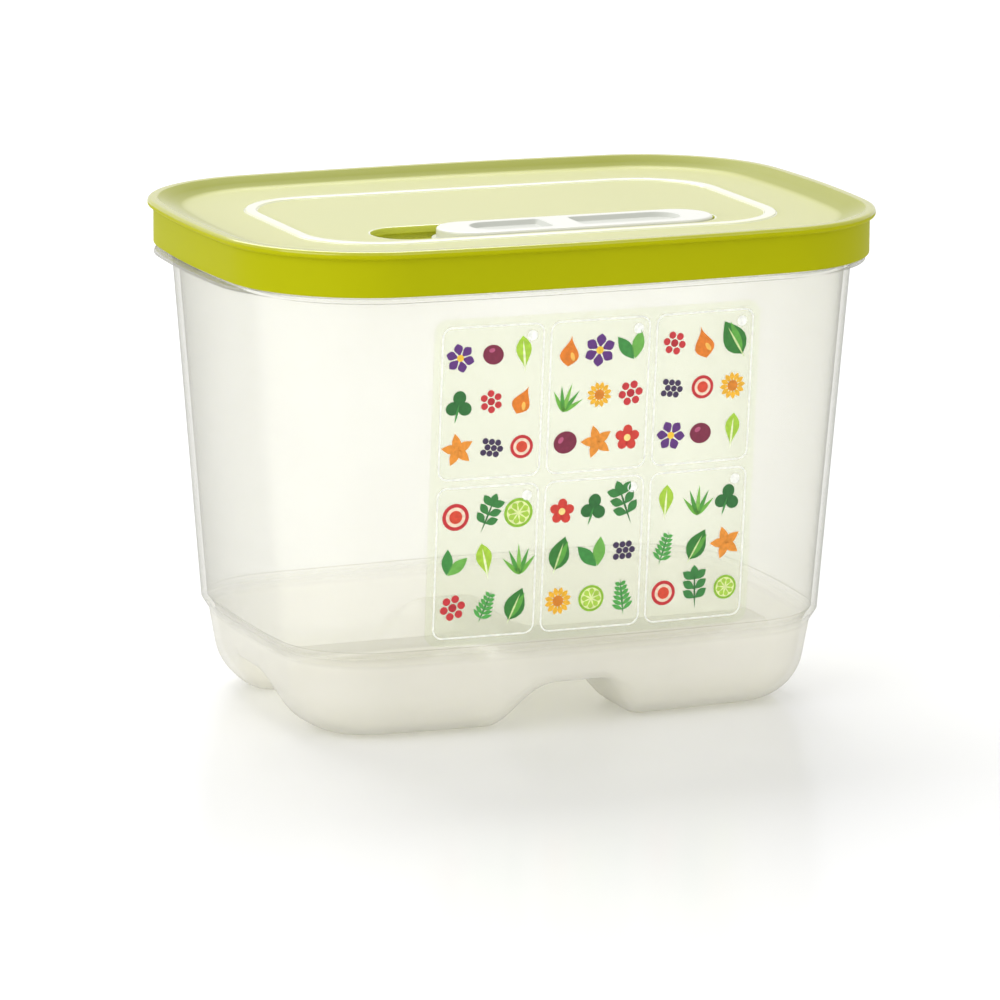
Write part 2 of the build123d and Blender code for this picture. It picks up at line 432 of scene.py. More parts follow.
def flange_edge(x, y):
    """Inset of the flange's edge, which stands out as a grip ledge at each end."""
    if abs(x) < END_ZONE:
        return FLANGE_INSET
    return LEDGE_INSET + (FLANGE_INSET - LEDGE_INSET) * ease((abs(y) - LEDGE_FULL_HALF) / LEDGE_FADE)


rim_path = rounded([
    (COLLAR_OUTER, FLANGE_TOP, 0),
    (COLLAR_OUTER, COLLAR_TOP - 2.2, 0.4),
    (COLLAR_BEAD, COLLAR_TOP - 1.7, 0.3),
    (COLLAR_BEAD, COLLAR_TOP - 1.2, 0.3),
    (COLLAR_OUTER, COLLAR_TOP - 0.6, 0.3),
    (COLLAR_OUTER, COLLAR_TOP, 0.3),
    (COLLAR_INNER, COLLAR_TOP, 0.5),
    (COLLAR_INNER, FLANGE_TOP + 0.4, 1.5),
], turn_step=22.0)
top_inner = [index + outer_count for index in outer_rings[0]]
rim_rings = [outer_rings[0]]
# The flange's edge is thin, with rounded lips, and its underside slopes back to the wall
for inset_more, drop in ((0.35, 1.2), (0.1, 1.1), (0.0, 0.85), (0.0, 0.35), (0.1, 0.1), (0.35, 0.0)):
    level = FLANGE_TOP - drop
    ring_points = []
    for (x, y, r, c, s), at in zip(keeper, loop(keeper, 0.0, level)):
        inset = flange_edge(at.x, at.y) + inset_more
        ring_points.append(Vector((x + (r - inset) * c, y + (r - inset) * s, level)))
    rim_rings.append(shell.ring(ring_points))
rim_rings += [shell.ring(loop(keeper, at.x, at.y)) for at in rim_path]
rim_rings.append(top_inner)
shell.skin(rim_rings)

# Natural polypropylene is a cloudy white that lets the far walls and the printed film show through
milky = bpy.data.materials.new("milky natural polypropylene")
milky.use_nodes = True
tree = milky.node_tree
tree.nodes.clear()
place = node(tree, "ShaderNodeTexCoord").outputs["Object"]
height_at = node(tree, "ShaderNodeSeparateXYZ", {0: place}).outputs["Z"]
# Flow marks about 36 mm across vary the haze, and the base below the step is etched more frosted.
# The moulding's grain of 0.6 mm is drawn coarser than real, so that it shows at this distance.
shadow_ray = node(tree, "ShaderNodeLightPath").outputs["Is Shadow Ray"]
frost = node(tree, "ShaderNodeMapRange", {0: height_at, 1: 0.0285, 2: 0.0225, 3: 0.0, 4: 1.0}).outputs[0]
cloud = node(tree, "ShaderNodeTexNoise", {"Vector": place, "Scale": 1000 / 36, "Detail": 3.0}).outputs[0]
haze = node(tree, "ShaderNodeMapRange", {0: cloud, 1: 0.3, 2: 0.7, 3: 0.09, 4: 0.14}).outputs[0]
haze = node(tree, "ShaderNodeMath", {0: frost, 1: 0.34, 2: haze}, operation="MULTIPLY_ADD").outputs[0]
facing = node(tree, "ShaderNodeLayerWeight", {"Blend": 0.5}).outputs["Facing"]
grazing = node(tree, "ShaderNodeMath", {0: facing, 1: 5.0}, operation="POWER").outputs[0]
haze = node(tree, "ShaderNodeMath", {0: grazing, 1: 0.15, 2: haze}, operation="MULTIPLY_ADD").outputs[0]
thin = node(tree, "ShaderNodeMath", {0: shadow_ray, 1: -0.3, 2: 1.0}, operation="MULTIPLY_ADD").outputs[0]
haze = node(tree, "ShaderNodeMath", {0: haze, 1: thin}, operation="MULTIPLY").outputs[0]
grain = node(tree, "ShaderNodeTexNoise", {"Vector": place, "Scale": 1000 / 0.6, "Detail": 2.0}).outputs[0]
relief = node(tree, "ShaderNodeBump", {"Strength": 0.06, "Distance": 0.0002, "Height": grain}).outputs[0]
# Seen edge-on the light has more of the wall to pass, as in glass
tinted = node(tree, "ShaderNodeMix", {"Factor": grazing, "A": paint("#FCFCFA"), "B": paint("#6F7168")},
              data_type="RGBA").outputs["Result"]
clear = node(tree, "ShaderNodeBsdfTransparent", {"Color": tinted})
glow = node(tree, "ShaderNodeBsdfTranslucent", {"Color": paint("#F7F5F1"), "Normal": relief})
chalk = node(tree, "ShaderNodeBsdfDiffuse", {"Color": paint("#F7F5F1"), "Normal": relief})
cloudy = node(tree, "ShaderNodeMixShader", {0: 0.5, 1: glow.outputs[0], 2: chalk.outputs[0]})
wall_body = node(tree, "ShaderNodeMixShader", {0: haze, 1: clear.outputs[0], 2: cloudy.outputs[0]})
shine = node(tree, "ShaderNodeBsdfGlossy", {"Color": paint("#FFFFFF"), "Roughness": 0.2, "Normal": relief})
sheen = node(tree, "ShaderNodeMath", {0: facing, 1: 4.0}, operation="POWER").outputs[0]
sheen = node(tree, "ShaderNodeMath", {0: sheen, 1: 0.3, 2: 0.03}, operation="MULTIPLY_ADD").outputs[0]
surface = node(tree, "ShaderNodeMixShader", {0: sheen, 1: wall_body.outputs[0], 2: shine.outputs[0]})
node(tree, "ShaderNodeOutputMaterial", {"Surface": surface.outputs[0]})

box = shell.piece("container_shell", [milky], "box")
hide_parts("container")


# Lid
# The lid is one soft lime polyethylene moulding, satin outside, with a spark-eroded panel and a
# polished ring. Its rim presses over the collar, and the panel is sunk inside it.

SKIRT_BOTTOM, SEAL_BOTTOM, CROWN_BOTTOM = 131.9, 133.5, 143.0
BEAD_OUT, BEAD_DEPTH = 1.7, 2.2
SKIRT_INNER, SEAL_OUTER, SEAL_INNER = 3.1, 6.3, 7.6
PANEL_TOP, PANEL_UNDER = 142.0, 140.5
POCKET_Y, POCKET_LENGTH, POCKET_WIDTH, POCKET_FLOOR, TUB_BOTTOM = -25.5, 104.0, 21.0, 138.4, 137.0
CROWN_WIDE, CROWN_DEEP = 3.0, 0.75
# Finishes in the order of the lid's materials
SATIN, POLISHED, ERODED, RIDGE_PAINTED_HIGHLIGHT, THIN_PAINTED_GLOW = range(5)


def slot(length, width, x=0.0, y=0.0, corner=None, steps=12):
    """Stations of a rounded box or, with no corner given, of a round-ended slot."""
    corner = width / 2 if corner is None else corner
    out_x, out_y = length / 2 - corner, width / 2 - corner
    stations = []
    for turn, (side_x, side_y) in enumerate(((1, 1), (-1, 1), (-1, -1), (1, -1))):
        first = turn * math.pi / 2
        stations += arc_stations((x + side_x * out_x, y + side_y * out_y), corner,
                                 first, first + math.pi / 2, steps)
    return stations


cover = Body()
# From the panel up the rim's slope, over the bead, down the skirt and up round the sealing channel
lid_path = rounded([
    (14.6, PANEL_TOP, 0),
    (10.4, PANEL_TOP + 0.16, 12.0),
    (6.6, 143.5, 9.0),
    (2.9, HEIGHT, 0.8),
    (0.0, HEIGHT, 1.0),
    (0.0, HEIGHT - BEAD_DEPTH, 0.9),
    (BEAD_OUT, HEIGHT - BEAD_DEPTH, 0.5),
    (BEAD_OUT, SKIRT_BOTTOM, 0.5),
    (SKIRT_INNER, SKIRT_BOTTOM, 0.4),
    (SKIRT_INNER, SKIRT_BOTTOM + 0.7, 0.1),
    (SKIRT_INNER + 0.5, SKIRT_BOTTOM + 1.1, 0.3),
    (SKIRT_INNER + 0.5, SKIRT_BOTTOM + 1.5, 0.3),
    (SKIRT_INNER, SKIRT_BOTTOM + 1.9, 0.1),
    (SKIRT_INNER, CROWN_BOTTOM, 0.5),
    (SEAL_OUTER, CROWN_BOTTOM, 0.5),
    (SEAL_OUTER, SEAL_BOTTOM, 0.4),
    (SEAL_INNER, SEAL_BOTTOM, 0.4),
    (SEAL_INNER, PANEL_UNDER, 0.3),
    (SEAL_INNER + 0.8, PANEL_UNDER, 0),
], turn_step=9.0)
lid_rings = [cover.ring(loop(keeper, at.x, at.y)) for at in lid_path]
for at, low, high in zip(lid_path, lid_rings, lid_rings[1:]):
    on_crown = at.y > HEIGHT - CROWN_DEEP and at.x < CROWN_WIDE
    on_panel = at.x >= CROWN_WIDE and at.y > PANEL_UNDER + 1.0
    cover.skin([low, high], finish=POLISHED if on_crown else ERODED if on_panel else SATIN)

RING_LENGTH, RING_WIDTH, RING_CORNER, RING_BAND, RING_HEIGHT = 146.6, 86.6, 24.3, 3.4, 0.5
ring_shape = slot(RING_LENGTH, RING_WIDTH, corner=RING_CORNER, steps=16)
ring_path = rounded([
    (-0.3, PANEL_TOP, 0),
    (0.0, PANEL_TOP, 0.2),
    (0.0, PANEL_TOP + RING_HEIGHT, 0.5),
    (RING_BAND, PANEL_TOP + RING_HEIGHT, 0.5),
    (RING_BAND, PANEL_TOP, 0.2),
    (RING_BAND + 0.3, PANEL_TOP, 0),
], turn_step=18.0)
ring_rings = [cover.ring(loop(ring_shape, at.x, at.y)) for at in ring_path]
# The ring's band is painted near white: a painted highlight along the polished ridge
cover.skin(ring_rings, finish=RIDGE_PAINTED_HIGHLIGHT)
cover.fill(lid_rings[0], [ring_rings[0]], finish=ERODED)

pocket = slot(POCKET_LENGTH, POCKET_WIDTH, y=POCKET_Y)
groove_out, groove_top, tub_wall = 1.3, POCKET_FLOOR + 1.6, 1.3
pocket_path = rounded([
    (-0.8, PANEL_TOP, 0),
    (0.0, PANEL_TOP, 0.6),
    (0.0, groove_top, 0.2),
    (-groove_out, groove_top, 0.2),
    (-groove_out, POCKET_FLOOR, 0.2),
    (0.5, POCKET_FLOOR, 0),
], turn_step=22.0)
pocket_rings = [cover.ring(loop(pocket, at.x, at.y)) for at in pocket_path]
# The pocket's lip takes the ridge finish, painted near white as a highlight
cover.skin(pocket_rings[:3], finish=RIDGE_PAINTED_HIGHLIGHT)
# Below the groove the pocket takes the thin floor's finish, painted a paler lime as light glowing through
cover.skin(pocket_rings[2:], finish=THIN_PAINTED_GLOW)
cover.fill(ring_rings[-1], [pocket_rings[0]], finish=ERODED)

# Under the pocket hangs a tub with the same outline
tub_path = rounded([
    (0.5, TUB_BOTTOM, 0),
    (-groove_out - tub_wall, TUB_BOTTOM, 0.6),
    (-groove_out - tub_wall, PANEL_UNDER, 0.3),
    (-groove_out - 2.0, PANEL_UNDER, 0),
], turn_step=22.0)
tub_rings = [cover.ring(loop(pocket, at.x, at.y)) for at in tub_path]
cover.skin(tub_rings)
VENT_COUNT, VENT_LENGTH, VENT_WIDTH, VENT_STEP, VENT_MARGIN = 5, 12.0, 2.2, 3.4, 2.0
vent_middle = POCKET_LENGTH / 2 - VENT_MARGIN - ((VENT_COUNT - 1) * VENT_STEP + VENT_WIDTH) / 2
vent_rings = []
for number in range(VENT_COUNT):
    vent = slot(VENT_LENGTH, VENT_WIDTH, steps=8)
    centre_x = vent_middle + (number - (VENT_COUNT - 1) / 2) * VENT_STEP
    vent = [(centre_x - y, POCKET_Y + x, r, -s, c) for x, y, r, c, s in vent]
    vent_rings.append([cover.ring(loop(vent, inset, level)) for inset, level in (
        (-0.2, POCKET_FLOOR), (0.0, POCKET_FLOOR - 0.2), (0.0, TUB_BOTTOM))])
    cover.skin(vent_rings[-1])
# The pocket's floor, above and below, is painted a paler lime as a painted glow
cover.fill(pocket_rings[-1], [rings[0] for rings in vent_rings], finish=THIN_PAINTED_GLOW)
cover.fill(tub_rings[0], [rings[-1] for rings in vent_rings], finish=THIN_PAINTED_GLOW)
cover.fill(lid_rings[-1], [tub_rings[-1]])


def lime_polyethylene(name, roughness, relief_strength, specular, coat=0.0, sheen=0.0,
                      tones=("#BDBC00", "#B2B600"), through=0.22, shade_slopes=False):
    """Soft lime polyethylene. It is cloudy, so light from behind glows through thin parts."""
    finish = bpy.data.materials.new(name)
    finish.use_nodes = True
    tree = finish.node_tree
    shader = tree.nodes["Principled BSDF"]
    place = node(tree, "ShaderNodeTexCoord").outputs["Object"]
    # Two near tones of lime drift into each other over about 70 mm
    flow = node(tree, "ShaderNodeTexNoise", {"Vector": place, "Scale": 1000 / 70, "Detail": 2.0}).outputs[0]
    blend = node(tree, "ShaderNodeMix", {"Factor": flow, "A": paint(tones[0]), "B": paint(tones[1])},
                 data_type="RGBA").outputs["Result"]
    # The mould's grain is 0.4 mm here, coarser than real
    grain = node(tree, "ShaderNodeTexNoise", {"Vector": place, "Scale": 1000 / 0.4, "Detail": 2.0}).outputs[0]
    relief = node(tree, "ShaderNodeBump", {"Strength": relief_strength, "Distance": 0.0001, "Height": grain})
    tree.links.new(blend, shader.inputs["Base Color"])
    tree.links.new(relief.outputs[0], shader.inputs["Normal"])
    shader.inputs["Roughness"].default_value = roughness
    shader.inputs["IOR"].default_value = 1.5
    shader.inputs["Specular IOR Level"].default_value = specular
    shader.inputs["Coat Weight"].default_value = coat
    shader.inputs["Coat Roughness"].default_value = roughness
    shader.inputs["Sheen Weight"].default_value = sheen
    shader.inputs["Sheen Roughness"].default_value = 0.35
    glow = node(tree, "ShaderNodeBsdfTranslucent", {"Color": paint("#D6D40A")})
    face = shader.outputs[0]
    if shade_slopes:
        # Where the panel turns up into the rim, but not where it is seen at a low angle, the eroded texture
        # fades out into a darker copy of the lime: painted shade on the rim's slopes
        # A darker copy of the lime, painted as shade on the slopes
        plain = node(tree, "ShaderNodeBsdfPrincipled", {
            "Base Color": paint("#868C04"), "Roughness": 0.42, "IOR": 1.5, "Specular IOR Level": 0.08,
            "Normal": relief.outputs[0]})
        normal = node(tree, "ShaderNodeNewGeometry").outputs["Normal"]
        up = node(tree, "ShaderNodeSeparateXYZ", {0: normal}).outputs["Z"]
        flat = node(tree, "ShaderNodeMapRange", {0: up, 1: 0.935, 2: 0.9995, 3: 0.0, 4: 1.0},
                    interpolation_type="SMOOTHSTEP").outputs[0]
        graze = node(tree, "ShaderNodeLayerWeight", {"Blend": 0.5}).outputs["Facing"]
        graze = node(tree, "ShaderNodeMath", {0: graze, 1: 3.0}, operation="POWER").outputs[0]
        flat = node(tree, "ShaderNodeMath", {0: flat, 1: graze}, operation="MAXIMUM").outputs[0]
        face = node(tree, "ShaderNodeMixShader", {0: flat, 1: plain.outputs[0], 2: face}).outputs[0]
    cloudy = node(tree, "ShaderNodeMixShader", {0: through, 1: face, 2: glow.outputs[0]})
    tree.links.new(cloudy.outputs[0], tree.nodes["Material Output"].inputs["Surface"])
    return finish


# The skirt is an even saturated lime; the crown is glossier, so a thin light line runs along the rim
satin_lime = lime_polyethylene(
    "lime polyethylene, satin skirt", roughness=0.5, relief_strength=0.08, specular=0.08)
polished_lime = lime_polyethylene(
    "lime polyethylene, polished crown", roughness=0.16, relief_strength=0.0, specular=0.5, coat=0.6,
    sheen=0.3)
# The eroded panel turns pale and dusty when it is seen at a low angle, and the rim's slopes are painted a
# darker lime as shade
eroded_lime = lime_polyethylene(
    "lime polyethylene, spark-eroded panel, painted slope shade", roughness=0.34, relief_strength=0.12, specular=0.5, coat=0.5,
    sheen=0.75, shade_slopes=True)
# The raised ring and the pocket's lip are painted near white, a painted highlight on the polished lime, and
# the pocket's thin floor is painted a paler lime as a painted glow
ridge_lime_painted_highlight = lime_polyethylene(
    "lime polyethylene, polished ridge, painted highlight", roughness=0.1, relief_strength=0.0, specular=0.5, coat=1.0,
    sheen=0.6, tones=("#F0F1D2", "#EAECC8"), through=0.1)
# A paler lime painted on the pocket's thin floor stands in for light glowing through it; its translucent mix
# also lets real light through
thin_lime_painted_glow = lime_polyethylene(
    "lime polyethylene, thin pocket floor, painted glow", roughness=0.45, relief_strength=0.08, specular=0.2,
    tones=("#F2FA78", "#EAF270"), through=0.55)
lid = cover.piece("lid_shell", [satin_lime, polished_lime, eroded_lime, ridge_lime_painted_highlight, thin_lime_painted_glow],
                  "cover")
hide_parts("lid")


# Vent slide
# A glossy white polypropylene plate with a thin flange at its foot, held by the grooves in the
# lid's pocket. Two finger dishes in its top, painted grey as shade in the hollows, are divided by a bridge.

SLIDE_X, SLIDE_Y = 9.7, POCKET_Y
SLIDE_LENGTH, SLIDE_WIDTH, SLIDE_BOTTOM, SLIDE_TOP = 84.0, 20.4, 138.7, 142.7
FOOT_OUT, FOOT_HIGH = 1.3, 1.0
plate_shape = slot(SLIDE_LENGTH, SLIDE_WIDTH, x=SLIDE_X, y=SLIDE_Y)
plate = Body()
plate_path = rounded([
    (1.5, SLIDE_TOP, 0),
    (0.0, SLIDE_TOP, 0.7),
    (0.0, SLIDE_BOTTOM + FOOT_HIGH, 0.1),
    (-FOOT_OUT, SLIDE_BOTTOM + FOOT_HIGH, 0.15),
    (-FOOT_OUT, SLIDE_BOTTOM, 0.15),
    (1.0, SLIDE_BOTTOM, 0),
], turn_step=15.0)
plate_rings = [plate.ring(loop(plate_shape, at.x, at.y)) for at in plate_path]
GLOSSY, MATT = range(2)
plate.skin(plate_rings, finish=GLOSSY)
plate.fill(plate_rings[-1], finish=GLOSSY)
# Each dish has a round end, and a flat one with small corners at the bridge
DISH_DEPTH, DISH_HALF, DISH_ROUND, DISH_CORNER, BRIDGE, BRIDGE_SHIFT = 1.3, 32.0, 6.5, 1.6, 9.0, -4.5
dish_mouths = []
for side in (-1, 1):
    round_x, flat_x = side * (DISH_HALF - DISH_ROUND), BRIDGE_SHIFT + side * (BRIDGE / 2 + DISH_CORNER)
    ends = {side: (SLIDE_X + round_x, DISH_ROUND), -side: (SLIDE_X + flat_x, DISH_CORNER)}
    dish = []
    for turn, (side_x, side_y) in enumerate(((1, 1), (-1, 1), (-1, -1), (1, -1))):
        centre_x, corner = ends[side_x]
        dish += arc_stations((centre_x, SLIDE_Y + side_y * (DISH_ROUND - corner)), corner,
                             turn * math.pi / 2, (turn + 1) * math.pi / 2, 10)
    dish_path = rounded([
        (-0.4, SLIDE_TOP, 0),
        (0.0, SLIDE_TOP, 0.3),
        (1.2, SLIDE_TOP - DISH_DEPTH, 0.5),
        (1.5, SLIDE_TOP - DISH_DEPTH, 0),
    ], turn_step=15.0)
    dish_rings = [plate.ring(loop(dish, at.x, at.y)) for at in dish_path]
    # The dishes take the matt finish, painted darker as shade
    plate.skin(dish_rings, finish=MATT)
    plate.fill(dish_rings[-1], finish=MATT)
    dish_mouths.append(dish_rings[0])
plate.fill(plate_rings[0], dish_mouths, finish=GLOSSY)


def white_polypropylene(name, code, roughness):
    """Moulded polypropylene in one even colour, with faint flow marks."""
    finish = bpy.data.materials.new(name)
    finish.use_nodes = True
    tree = finish.node_tree
    shader = tree.nodes["Principled BSDF"]
    place = node(tree, "ShaderNodeTexCoord").outputs["Object"]
    # One flow mark every 16 mm or so
    flow = node(tree, "ShaderNodeTexNoise", {"Vector": place, "Scale": 1000 / 16, "Detail": 3.0}).outputs[0]
    lighter = [part * 1.03 for part in paint(code)[:3]] + [1]
    tint = node(tree, "ShaderNodeMix", {"Factor": flow, "A": paint(code), "B": lighter}, data_type="RGBA")
    tree.links.new(tint.outputs["Result"], shader.inputs["Base Color"])
    shader.inputs["Roughness"].default_value = roughness
    shader.inputs["IOR"].default_value = 1.49
    return finish


# A clean glossy white plate, and matt dishes painted a shade darker, as painted shade, so that they read as
# hollows
slide_white = white_polypropylene("white polypropylene, glossy", "#D0D0C8", 0.25)
dish_painted_shade = white_polypropylene("polypropylene, matt, painted hollow shade", "#B2B4AB", 0.5)
slide = plate.piece("vent_slide_plate", [slide_white, dish_painted_shade], "slide")
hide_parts("vent_slider")


# Guide label
# A clear polyester film is stuck on the front wall. White panel outlines and small motifs in
# green, red, orange, yellow and purple screen inks stand on it, a few hundredths thick.

FILM_X, FILM_BOTTOM, FILM_TOP = 1.0, 28.9, 123.9
# The print lies this far outside the wall, just clear of the film
FILM_GROWTH = 0.46
INK_DEPTH = 0.08

# The film is a faint pale veil over the milky wall, with a soft shine where it is seen edge-on
film = bpy.data.materials.new("clear polyester film, hazed")
film.use_nodes = True
tree = film.node_tree
tree.nodes.clear()
place = node(tree, "ShaderNodeTexCoord").outputs["Object"]
# Its haze is a little uneven, in patches of about 22 mm
cloud = node(tree, "ShaderNodeTexNoise", {"Vector": place, "Scale": 1000 / 22, "Detail": 3.0}).outputs[0]
veil = node(tree, "ShaderNodeMapRange", {0: cloud, 1: 0.3, 2: 0.7, 3: 0.09, 4: 0.14}).outputs[0]
through = node(tree, "ShaderNodeBsdfTransparent", {"Color": paint("#FDFEF8")})
matt = node(tree, "ShaderNodeBsdfDiffuse", {"Color": paint("#F6F9EC")})
body = node(tree, "ShaderNodeMixShader", {0: veil, 1: through.outputs[0], 2: matt.outputs[0]})
shine = node(tree, "ShaderNodeBsdfGlossy", {"Color": paint("#FFFFFF"), "Roughness": 0.25})
facing = node(tree, "ShaderNodeLayerWeight", {"Blend": 0.5}).outputs["Facing"]
sheen = node(tree, "ShaderNodeMath", {0: facing, 1: 4.0}, operation="POWER").outputs[0]
sheen = node(tree, "ShaderNodeMath", {0: sheen, 1: 0.5, 2: 0.03}, operation="MULTIPLY_ADD").outputs[0]
surface = node(tree, "ShaderNodeMixShader", {0: sheen, 1: body.outputs[0], 2: shine.outputs[0]})
node(tree, "ShaderNodeOutputMaterial", {"Surface": surface.outputs[0]})
film_sheet = frame["nodes"]["guide_label"]
for entry in film_sheet.material_slots:
    entry.material = film


def oval(x, y, wide, tall, turn=0.0, steps=14):
    """Outline of an oval, turned about its middle."""
    outline = []
    for step in range(steps):
        angle = math.tau * step / steps
        across, along = wide / 2 * math.cos(angle), tall / 2 * math.sin(angle)
        outline.append((x + across * math.cos(turn) - along * math.sin(turn),
                        y + across * math.sin(turn) + along * math.cos(turn)))
    return outline


def blade(x, y, length, wide, turn, belly=0.5, steps=7):
    """Outline of a leaf from its stalk at (x, y), widest at belly of its length."""
    run = [step / steps for step in range(steps + 1)]
    bend = math.log(0.5) / math.log(belly)
    sides = []
    for side in (1, -1):
        sides.append([(length * share, side * wide / 2 * math.sin(math.pi * share ** bend)) for share in run])
    outline = sides[1] + sides[0][-2:0:-1]
    return [(x + a * math.cos(turn) - b * math.sin(turn), y + a * math.sin(turn) + b * math.cos(turn))
            for a, b in outline]


def motif(name, parts, group):
    """A flat printed motif: each part is an outline, an ink and the ink's layer."""
    printed = bmesh.new()
    ink_layer = printed.loops.layers.float_color.new("ink")
    for outline, code, level in parts:
        base = level * INK_DEPTH / 2
        top = base + INK_DEPTH / 2
        low = [printed.verts.new((x, y, base)) for x, y in outline]
        high = [printed.verts.new((x, y, top)) for x, y in outline]
        made = [printed.faces.new(high), printed.faces.new(list(reversed(low)))]
        for here in range(len(low)):
            there = (here + 1) % len(low)
            made.append(printed.faces.new((low[here], low[there], high[there], high[here])))
        for face in made:
            for corner in face.loops:
                corner[ink_layer] = paint(code)
    mesh = bpy.data.meshes.new(name)
    printed.to_mesh(mesh)
    printed.free()
    group.objects.link(bpy.data.objects.new(name, mesh))


def around(radius, turn):
    """The point at a radius from the middle, in the direction of a turn."""
    return radius * math.cos(turn), radius * math.sin(turn)


def fan(count, make, code, level=0, first=0.0):
    """The same outline at count turns around the middle."""
    return [(make(first + math.tau * step / count), code, level) for step in range(count)]


motifs = bpy.data.collections.new("motifs")
UP = math.pi / 2
motif("motif_01_leaf", [
    (blade(0, -6, 13, 8, UP, 0.42), "#2F7A2C", 0),
    (blade(0.4, -4.8, 10.5, 2.6, UP - 0.12, 0.42), "#5BA63C", 1),
    (blade(0, -7.5, 12, 0.7, UP), "#CBE09A", 2)], motifs)
motif("motif_02_blossom", [
    *fan(6, lambda turn: blade(*around(0.6, turn), 4.9, 3.4, turn, 0.62), "#5B2A78"),
    (oval(0, 0, 2.6, 2.6), "#F1C232", 1)], motifs)
motif("motif_03_frond", [(blade(0, -6.5, 13, 0.8, UP), "#3E8E41", 0)] + [
    (blade(0, -4.6 + 1.75 * row, 4.6 - 0.45 * row, 1.5, UP - side * 1.0, 0.5), "#4FA64A", 0)
    for row in range(6) for side in (-1, 1)], motifs)
motif("motif_04_drop", [
    (blade(0, 5.5, 11, 7.2, -UP, 0.66, 9), "#E07B1A", 0),
    (oval(1.3, -1.9, 1.5, 3.2, 0.4), "#F6BE55", 1)], motifs)
motif("motif_05_wheel", [
    (oval(0, 0, 9.6, 9.6, steps=26), "#8DBE2F", 0),
    (oval(0, 0, 7.8, 7.8, steps=24), "#E4EFA8", 1),
    *fan(8, lambda turn: blade(*around(0.5, turn), 3.2, 1.9, turn, 0.7), "#A9CF45", 2)], motifs)
motif("motif_06_dots", [
    (oval(0, 0, 2.9, 2.9, steps=12), "#B3202C", 0),
    *fan(6, lambda turn: oval(*around(3.1, turn), 2.7, 2.7, steps=12), "#C62F35")], motifs)
motif("motif_07_sprig", [(blade(0, -7, 14, 0.7, UP), "#2C6B33", 0)] + [
    (blade(0, -3.2 + 3.4 * row, 5.4, 3.0, UP - side * 0.95, 0.55), "#347F3A", 0)
    for row in range(3) for side in (-1, 1)] + [(blade(0, 3.6, 5.2, 3.0, UP, 0.55), "#347F3A", 0)], motifs)
motif("motif_08_rosette", [
    *fan(12, lambda turn: blade(*around(1.2, turn), 3.6, 1.7, turn, 0.6), "#F0B429"),
    (oval(0, 0, 3.8, 3.8), "#D9821B", 1)], motifs)
motif("motif_09_clover", [
    *fan(3, lambda turn: oval(*around(2.5, turn), 5.2, 4.8, turn), "#256B2D", first=UP),
    (blade(0, 0.4, 7, 0.8, -UP - 0.15), "#3E8E41", 1)], motifs)
motif("motif_10_rings", [
    (oval(0, 0, 9.0, 9.0, steps=24), "#C4262E", 0),
    (oval(0, 0, 6.6, 6.6, steps=20), "#F2D9C0", 1),
    (oval(0, 0, 4.4, 4.4, steps=18), "#D8452B", 2)], motifs)
motif("motif_11_tuft", [
    (blade(0, -5.5, 11 - abs(lean) * 3, 1.6, UP + lean, 0.35), code, 0) for lean, code in (
        (-0.75, "#6DB33F"), (-0.38, "#4C9A3A"), (0.0, "#7FBF4D"), (0.38, "#4C9A3A"),
        (0.75, "#6DB33F"))], motifs)
motif("motif_12_blossom", [
    *fan(5, lambda turn: oval(*around(2.7, turn), 3.9, 3.5, turn), "#D23A2E", first=0.3),
    (oval(0, 0, 2.5, 2.5), "#FBE08A", 1)], motifs)
motif("motif_13_berry_dots", [
    (oval(2.4 * (step % 3) - 2.4 + 1.2 * (step // 3 % 2), 2.1 * (step // 3) - 2.1, 2.3, 2.3, steps=10),
     "#3B2A4E", 0) for step in range(9)], motifs)
motif("motif_14_pale_leaf", [
    (blade(0, -5.5, 11.5, 5.6, UP, 0.6), "#A6CE39", 0),
    (blade(0, -6.8, 11, 0.8, UP), "#EEF6C3", 1)], motifs)
motif("motif_15_star", fan(5, lambda turn: blade(0, 0, 5.8, 3.2, turn, 0.4), "#E8912D", first=UP), motifs)
motif("motif_16_twin_leaf", [
    (blade(-0.2, -4.5, 10, 4.4, UP + 0.42, 0.5), "#3A8B3C", 0),
    (blade(0.2, -4.5, 10, 4.4, UP - 0.42, 0.5), "#6BB048", 0)], motifs)
motif("motif_17_dark_disc", [
    (oval(0, 0, 8.2, 7.4, steps=20), "#7A1F3D", 0),
    (oval(-1.2, 1.3, 2.4, 1.6, 0.6), "#B8557A", 1)], motifs)

PANEL_WIDE, PANEL_TALL, PANEL_CORNER, PANEL_LINE = 30.4, 44.4, 3.0, 0.45
SPOT_INSET, SPOT_WIDE, FRAME_WHITE = 3.6, 3.0, "#F7F8F0"
frames_group = bpy.data.collections.new("frames")
panel_outline = slot(PANEL_WIDE, PANEL_TALL, corner=PANEL_CORNER, steps=6)
edge_out = loop(panel_outline, 0.0, 0.0)
edge_in = loop(panel_outline, PANEL_LINE, 0.0)
quads = []
for here in range(len(edge_out)):
    there = (here + 1) % len(edge_out)
    corners = (edge_out[here], edge_out[there], edge_in[there], edge_in[here])
    quads.append(([(point.x, point.y) for point in corners], FRAME_WHITE, 0))
spot = oval(PANEL_WIDE / 2 - SPOT_INSET, PANEL_TALL / 2 - SPOT_INSET, SPOT_WIDE, SPOT_WIDE)
motif("panel_frame", quads + [(spot, FRAME_WHITE, 0)], frames_group)

# Opaque satin inks in clear colours, which stand out against the pale wall
ink = bpy.data.materials.new("screen ink, satin")
ink.use_nodes = True
tree = ink.node_tree
shader = tree.nodes["Principled BSDF"]
place = node(tree, "ShaderNodeTexCoord").outputs["Object"]
